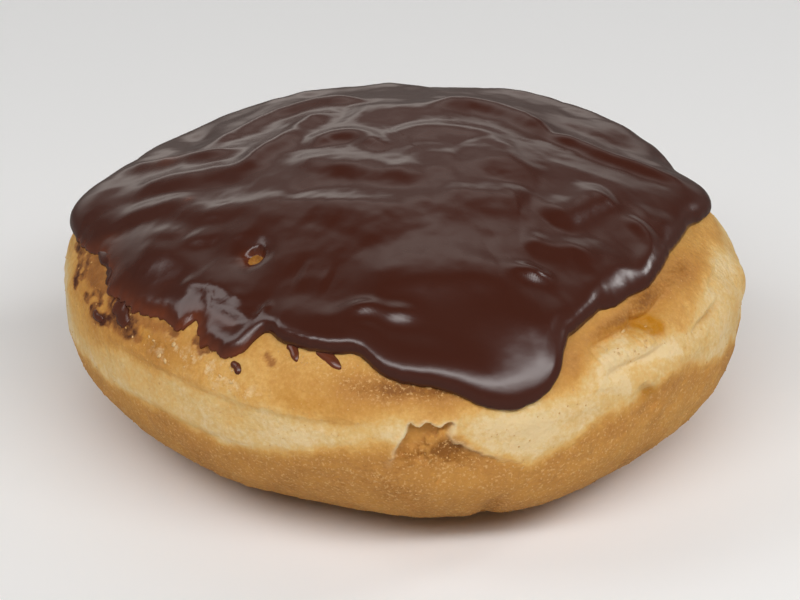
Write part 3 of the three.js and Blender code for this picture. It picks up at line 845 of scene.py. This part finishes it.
def wave_height(plan):
    """Height of the set waves over places in plan."""
    total = np.zeros(len(plan))
    for stops, right, left, height in WAVES:
        line = smooth_line(stops)
        way = np.gradient(line, axis=0)
        step = np.linalg.norm(way, axis=1)
        reach = WAVE_REACH * max(right, left)
        near = np.all((plan > line.min(axis=0) - reach) & (plan < line.max(axis=0) + reach), axis=1)
        offset = plan[near][:, None] - line
        nearest = np.argmin((offset**2).sum(axis=2), axis=1)
        offset = offset[np.arange(len(nearest)), nearest]
        way, step = way[nearest], step[nearest]
        side = (way[:, 0] * offset[:, 1] - way[:, 1] * offset[:, 0]) / step
        past = (way * offset).sum(axis=1) / step**2
        share = (nearest + past) / (len(line) - 1)
        ends = smooth(share, 0, WAVE_RUN_OUT) * (1 - smooth(share, 1 - WAVE_RUN_OUT, 1))
        rise = height * ends * bell(side, np.where(side > 0, left, right))
        total[near] += rise**WAVE_BLEND
    total = total ** (1 / WAVE_BLEND)
    for x, y, wide, deep, height in MOUNDS:
        total += height * bell(plan[:, 0] - x, wide) * bell(plan[:, 1] - y, deep)
    return total


ICING_COLUMNS = 640
NOSE_RINGS = 10
CROWN_RINGS = 122
CROWN_CROWDING = 1.15  # power by which rings stand closer together near the edge
UNDER_RINGS = 6
UNDER_SHARES = (0.9, 0.05)  # of the way from the edge to the top, for the first and last ring underneath
icing_bearings = column_bearings(ICING_COLUMNS)
edge = icing_edge(icing_bearings)
three_turns = np.concatenate([icing_bearings + turn for turn in (-360, 0, 360)])
edge_slope = np.gradient(np.tile(edge, 3), three_turns)
edge_slope = edge_slope[ICING_COLUMNS:2 * ICING_COLUMNS] * DEGREE_UP / DEGREE_ROUND

# Degrees of latitude to a millimetre from the edge
inward = np.minimum(np.hypot(1, edge_slope), STEEPEST_EDGE) / DEGREE_UP
nose_turns = np.radians(np.linspace(-NOSE_UNDERCUT, 90, NOSE_RINGS))[:, None]
undercut = math.sin(math.radians(NOSE_UNDERCUT))
nose_bearing = np.tile(icing_bearings, (NOSE_RINGS, 1))
nose_inside = NOSE_LENGTH * border(icing_bearings, LIP) * (1 - np.cos(nose_turns))
nose_latitude = edge + nose_inside * inward
nose_end = nose_latitude[-1]
nose_height = lip_profile(nose_bearing, nose_inside) * (np.sin(nose_turns) + undercut) / (1 + undercut)
nose_height[0] = -SUNK

crown_share = (np.arange(1, CROWN_RINGS) / CROWN_RINGS)[:, None] ** CROWN_CROWDING
crown_latitude = nose_end + (90 - nose_end) * crown_share
crown_bearing = np.tile(icing_bearings, (CROWN_RINGS - 1, 1))

# The rings are drawn in towards the bubble, so that its wall is finely divided
bubble_round = turned(crown_bearing, BUBBLE["bearing"]) * DEGREE_ROUND
bubble_round = bubble_round * math.cos(math.radians(BUBBLE["latitude"]))
bubble_up = (crown_latitude - BUBBLE["latitude"]) * DEGREE_UP
drawn = np.minimum(np.hypot(bubble_round, bubble_up) / BUBBLE["crowding"], 1) ** 0.5
crown_bearing = BUBBLE["bearing"] + turned(crown_bearing, BUBBLE["bearing"]) * drawn
crown_latitude = BUBBLE["latitude"] + (crown_latitude - BUBBLE["latitude"]) * drawn

crown_base = cushion_point(crown_bearing, crown_latitude)
crown_way = outward(crown_bearing, crown_latitude)
edge_line = np.linspace(-180, 180, EDGE_PLACES, endpoint=False)
edge_points = cushion_point(edge_line, icing_edge(edge_line))
edge_tree = kdtree.KDTree(len(edge_points))
for index, point in enumerate(edge_points):
    edge_tree.insert(point, index)
edge_tree.balance()
inside_edge = np.array([edge_tree.find(point)[2] for point in crown_base.reshape(-1, 3)])
inside_edge = inside_edge.reshape(crown_latitude.shape)
eased = (crown_latitude - rounded_edge(crown_bearing, EDGE_EASED)) * DEGREE_UP
inside_edge = inside_edge + (eased - inside_edge) * smooth(inside_edge, *EASED_INSIDE)

crown_skin = crown_base + crown_way * ICING_THICKNESS
crown_waves = wave_height(crown_skin.reshape(-1, 3)[:, :2]).reshape(crown_latitude.shape)
unrest = 1 - CALMED * spots(crown_bearing, crown_latitude, CALM)
for seed, (size, height) in enumerate(RIPPLES):
    crown_waves = crown_waves + unrest * height * lumps(crown_base, size, seed + 8)
crown_height = lip_profile(crown_bearing, inside_edge) + crown_waves * smooth(inside_edge, *WAVES_INSIDE)
bubble_middle = cushion_point(np.array(BUBBLE["bearing"]), np.array(BUBBLE["latitude"]))
from_bubble = np.linalg.norm(crown_base - bubble_middle, axis=-1)
opened = 1 - smooth(from_bubble, BUBBLE["hole"], BUBBLE["hole"] + BUBBLE["wall"])
crown_height = crown_height - BUBBLE["dip"] * bell(from_bubble, BUBBLE["dip_width"])
from_wall = from_bubble - BUBBLE["hole"] - BUBBLE["wall"]
crown_height = crown_height + BUBBLE["rim"] * bell(from_wall, BUBBLE["rim_width"])
crown_height = crown_height * (1 - opened) - SUNK * BUBBLE["floor"] * opened

nose_rings = cushion_point(nose_bearing, nose_latitude)
nose_rings = nose_rings + outward(nose_bearing, nose_latitude) * nose_height[..., None]
crown_rings = crown_base + crown_way * crown_height[..., None]
under_share = np.linspace(*UNDER_SHARES, UNDER_RINGS)[:, None]
under_latitude = nose_latitude[0] + (90 - nose_latitude[0]) * under_share
under_bearing = np.tile(icing_bearings, (UNDER_RINGS, 1))
under_rings = cushion_point(under_bearing, under_latitude)
under_rings = under_rings - outward(under_bearing, under_latitude) * 2 * SUNK

# Where the icing is a thin film: its wiped edge on the left, and two places where it barely covers
THIN_SPOTS = ((-101, 21, 4, 2), (-73, 24.6, 1.2, 0.8))
THIN_STRENGTH = 0.6
FILM_THICKNESS = (0.4, 1.1)  # thicknesses between which the film deepens into full icing
FILM_SOFT = 2
film_nose = np.tile(between(turned(icing_bearings, 0), *WIPED, FILM_SOFT), (NOSE_RINGS, 1))
film_crown = between(turned(crown_bearing, 0), *WIPED, FILM_SOFT)
film_crown = (1 - smooth(crown_height, *FILM_THICKNESS)) * film_crown
film_crown = np.maximum(film_crown, THIN_STRENGTH * spots(crown_bearing, crown_latitude, THIN_SPOTS))

top_base = cushion_point(np.array([0.0]), np.array([90.0]))
icing_top = top_base + np.array([0, 0, 1]) * crown_height[-1].mean()
icing_under_top = top_base - np.array([0, 0, 1]) * 2 * SUNK

ICING_COLOUR = (0.056, 0.0145, 0.0082, 1)
FILM_COLOUR = (0.15, 0.034, 0.012, 1)


def icing_material():
    material, tree, shader = new_material("chocolate_icing")
    where = add_node(tree, "ShaderNodeTexCoord").outputs["Object"]
    patchy = ranged(tree, cloudy(tree, where, 4), 0.35, 0.65, 0.5, 1.0)
    film = reckoned(tree, "MULTIPLY", attribute(tree, "film"), patchy)
    colour = mixed(tree, film, ICING_COLOUR, FILM_COLOUR)
    rough = ranged(tree, cloudy(tree, where, 12), 0.3, 0.7, 0.2, 0.26)
    skin = reckoned(tree, "ADD", cloudy(tree, where, 1.2, 3), cloudy(tree, where, 5, 2))
    bump = add_node(tree, "ShaderNodeBump", Height=skin, Strength=0.35, Distance=0.05 * MM)
    fill(tree, shader, Base_Color=colour, Roughness=rough, IOR=1.5, Normal=bump.outputs["Normal"])
    return material


chocolate_icing = icing_material()
icing_rings = np.concatenate([under_rings, nose_rings, crown_rings])
film = np.concatenate([np.zeros(under_rings.shape[:2]), film_nose, film_crown])
icing = mesh_piece(
    "icing_skin",
    np.concatenate([icing_under_top, icing_rings.reshape(-1, 3), icing_top]),
    ringed_faces(len(icing_rings), ICING_COLUMNS),
    chocolate_icing,
    {"film": np.concatenate([[0.0], film.ravel(), [0.0]])},
)
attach(icing, "root")
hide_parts("chocolate_icing")

# Smears and drips of icing
# Small runs and drops of the same icing on the crust below its edge, most of them on the left, where it was
# wiped. Each is a flat bead, stuck to the crust.

# Path of places, half-width, thickness, share by which a smear narrows to its end, and how filmy it is
SMEARS = (
    (((-78, 10.2), (-74, 10.5), (-70.6, 10.5), (-68.4, 9.6), (-67.4, 8)), 1.1, 0.6, 0, 0.1),
    (((-62.5, 7.4), (-60.5, 6.6), (-58.5, 5.8), (-56.6, 5.3)), 1.2, 0.25, 0, 0.5),
    (((-67.2, 3.7), (-65.4, 3.2), (-63.4, 3.6)), 0.6, 0.2, 0, 0.4),
    (((-31, 6.9), (-29.6, 6.8), (-28.8, 5.7)), 0.5, 0.4, 0, 0.6),
    (((-21.4, 12), (-20.2, 10.8), (-19, 9.3)), 1.3, 0.25, 0.75, 1),
    (((-16, 11.8), (-13.6, 10.7), (-11, 9.2)), 0.9, 0.25, 0.4, 1),
)
SMEAR_STEPS = 24
SMEAR_SIDES = 12
SMEAR_UNEVEN = {"size": 1.5, "share": 0.35}
SMEAR_BLUNT = 4  # power of the curve of its ends


def smear_rings(path, half_width, thickness, narrowing):
    """Rings of points round one flat bead along a path of places, from end to end."""
    stops = np.array(path, float)
    share = np.linspace(0, 1, SMEAR_STEPS + 2)
    passed = np.linspace(0, 1, len(stops))
    middle = np.stack([np.interp(share, passed, stops[:, axis]) for axis in (0, 1)], axis=-1)
    way = np.gradient(middle, axis=0) * (DEGREE_ROUND, DEGREE_UP)
    way = way / np.linalg.norm(way, axis=1, keepdims=True)
    across = np.stack([-way[:, 1] / DEGREE_ROUND, way[:, 0] / DEGREE_UP], axis=-1)
    round_bead = np.linspace(0, 2 * np.pi, SMEAR_SIDES, endpoint=False)
    ends = np.sqrt(np.clip(1 - np.abs(2 * share - 1) ** SMEAR_BLUNT, 0, 1))
    uneven = lumps(cushion_point(middle[:, 0], middle[:, 1]), SMEAR_UNEVEN["size"], 3)
    uneven = 1 + SMEAR_UNEVEN["share"] * uneven
    reach = half_width * ends * uneven * (1 - narrowing * share)
    places = middle[:, None] + across[:, None] * (reach[:, None] * np.cos(round_bead))[..., None]
    height = np.sin(round_bead) * ends[:, None]
    height = np.where(height > 0, height * thickness, height * SUNK)
    bearing, latitude = places[..., 0], places[..., 1]
    return crust_point(bearing, latitude) + outward(bearing, latitude) * height[..., None]


smear_points = []
smear_film = []
smear_faces = []
for path, half_width, thickness, narrowing, filmy in SMEARS:
    rings = smear_rings(path, half_width, thickness, narrowing)
    base = sum(len(part) for part in smear_points)
    start, end = (rings[at].mean(axis=0, keepdims=True) for at in (0, -1))
    smear_points.append(np.concatenate([start, rings[1:-1].reshape(-1, 3), end]))
    smear_film.append(np.full(len(smear_points[-1]), filmy))
    smear_faces += [[base + corner for corner in face] for face in ringed_faces(SMEAR_STEPS, SMEAR_SIDES)]
smears = mesh_piece(
    "icing_smears",
    np.concatenate(smear_points),
    smear_faces,
    chocolate_icing,
    {"film": np.concatenate(smear_film)},
)
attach(smears, "root")

# Floor, light and camera
# A plain pale floor, a broad softbox high in front with a brighter strip along its middle, a softbox on
# each side, and a dim room that glows warmly behind. A camera with a long lens looks down on the front.
FLOOR_RADIUS = 0.6
FLOOR_CORNERS = 64
FLOOR_COLOUR = (0.94, 0.94, 0.94, 1)
FLOOR_SURFACE = (0.9, 0.1)  # roughness and shine
floor_mesh = bpy.data.meshes.new("floor")
floor_turns = np.linspace(0, 2 * np.pi, FLOOR_CORNERS, endpoint=False)
floor_rim = np.stack([np.cos(floor_turns), np.sin(floor_turns), 0 * floor_turns], axis=-1) * FLOOR_RADIUS
floor_mesh.from_pydata(floor_rim.tolist(), [], [list(range(FLOOR_CORNERS))])
floor_mesh.materials.append(plain_material("pale_floor", FLOOR_COLOUR, *FLOOR_SURFACE))
floor = add_object("floor", floor_mesh)
floor.visible_glossy = False  # the icing reflects the room, not the bright floor behind it

belt_middle = Vector((FORM_ORIGIN[0] * MM, FORM_ORIGIN[1] * MM, BELT_HEIGHT * MM))


def direction(bearing, elevation):
    turn, rise = math.radians(bearing), math.radians(elevation)
    return Vector((math.sin(turn) * math.cos(rise), -math.cos(turn) * math.cos(rise), math.sin(rise)))


def softbox(name, bearing, elevation, distance, wide, tall, brightness):
    """A rectangular light aimed at the doughnut; brightness is that of its face."""
    light = bpy.data.lights.new(name, "AREA")
    light.shape = "RECTANGLE"
    light.size = wide
    light.size_y = tall
    light.energy = brightness * math.pi * wide * tall
    lamp = add_object(name, light)
    way = direction(bearing, elevation)
    lamp.location = belt_middle + way * distance
    lamp.rotation_euler = way.to_track_quat("Z", "Y").to_euler()
    lamp.visible_camera = False


# Bearing, elevation, distance, width, height and brightness of each softbox
SOFTBOXES = {
    "front_high": (9, 50, 0.9, 1.85, 0.42, 2.1),
    "front_core": (9, 51, 0.88, 1.75, 0.16, 4.8),
    "left_side": (-91, 42, 0.9, 0.32, 0.4, 2.6),
    "right_side": (109, 27, 0.9, 0.19, 0.2, 11),
}
for name, form in SOFTBOXES.items():
    softbox(name, *form)

# The room is dim overhead and behind, and brighter round the front. Behind, it glows softly low down,
# half-way up and low on the left, and faintly from below.
ROOM_COLOUR = (1, 0.95, 0.89, 1)
ROOM_LOW, ROOM_HIGH = 0.22, 0.02
BACK_DIM = {"wide": 70, "strength": 0.85}
GLOWS = (
    {"turn": -8, "wide": 30, "elevation": 13, "tall": 9.5, "strength": 1.2},
    {"turn": 0, "wide": 35, "elevation": 48, "tall": 13, "strength": 1.1},
    {"turn": -32, "wide": 15, "elevation": 22, "tall": 12, "strength": 0.4},
    {"turn": -10, "wide": 60, "elevation": -22, "tall": 14, "strength": 0.2},
)


def room_bell(tree, angle, middle, half_width):
    """A soft bell of an angle in radians; middle and half-width are in degrees."""
    offset = reckoned(tree, "SUBTRACT", angle, math.radians(middle))
    offset = reckoned(tree, "DIVIDE", offset, math.radians(half_width))
    squared = reckoned(tree, "MULTIPLY", offset, offset)
    return reckoned(tree, "EXPONENT", reckoned(tree, "MULTIPLY", squared, -1.0))


world = bpy.data.worlds.new("studio")
world.use_nodes = True
room = world.node_tree
looking = add_node(room, "ShaderNodeTexCoord").outputs["Generated"]
looking = add_node(room, "ShaderNodeSeparateXYZ", Vector=looking)
from_back = reckoned(room, "ARCTAN2", looking.outputs["X"], looking.outputs["Y"])
upward = reckoned(room, "ARCSINE", looking.outputs["Z"])
dim = reckoned(room, "MULTIPLY", room_bell(room, from_back, 0, BACK_DIM["wide"]), BACK_DIM["strength"])
bright = ranged(room, looking.outputs["Z"], 0.1, 0.5, ROOM_LOW, ROOM_HIGH)
bright = reckoned(room, "MULTIPLY", bright, reckoned(room, "SUBTRACT", 1.0, dim))
for glow in GLOWS:
    spot = reckoned(room, "MULTIPLY", room_bell(room, from_back, glow["turn"], glow["wide"]),
                    room_bell(room, upward, glow["elevation"], glow["tall"]))
    bright = reckoned(room, "ADD", bright, reckoned(room, "MULTIPLY", spot, glow["strength"]))
fill(room, room.nodes["Background"], Color=ROOM_COLOUR, Strength=bright)
bpy.context.scene.world = world
bpy.context.scene.view_settings.view_transform = "Standard"

CAMERA_ELEVATION = 26
CAMERA_DISTANCE = 0.43
IMAGE_WIDE, IMAGE_TALL = 800, 600
FOCAL_PIXELS = 3096
BELT_PIXEL = (406.2, 272.4)  # where the middle of the belt falls in the picture
camera_data = bpy.data.cameras.new("camera")
camera_data.lens = camera_data.sensor_width * FOCAL_PIXELS / IMAGE_WIDE
camera_data.shift_x = (IMAGE_WIDE / 2 - BELT_PIXEL[0]) / IMAGE_WIDE
camera_data.shift_y = (BELT_PIXEL[1] - IMAGE_TALL / 2) / IMAGE_WIDE
camera_data.clip_start = 0.01
camera = add_object("camera", camera_data)
camera.location = belt_middle + direction(0, CAMERA_ELEVATION) * CAMERA_DISTANCE
camera.rotation_euler = (math.radians(90 - CAMERA_ELEVATION), 0, 0)
bpy.context.scene.camera = camera
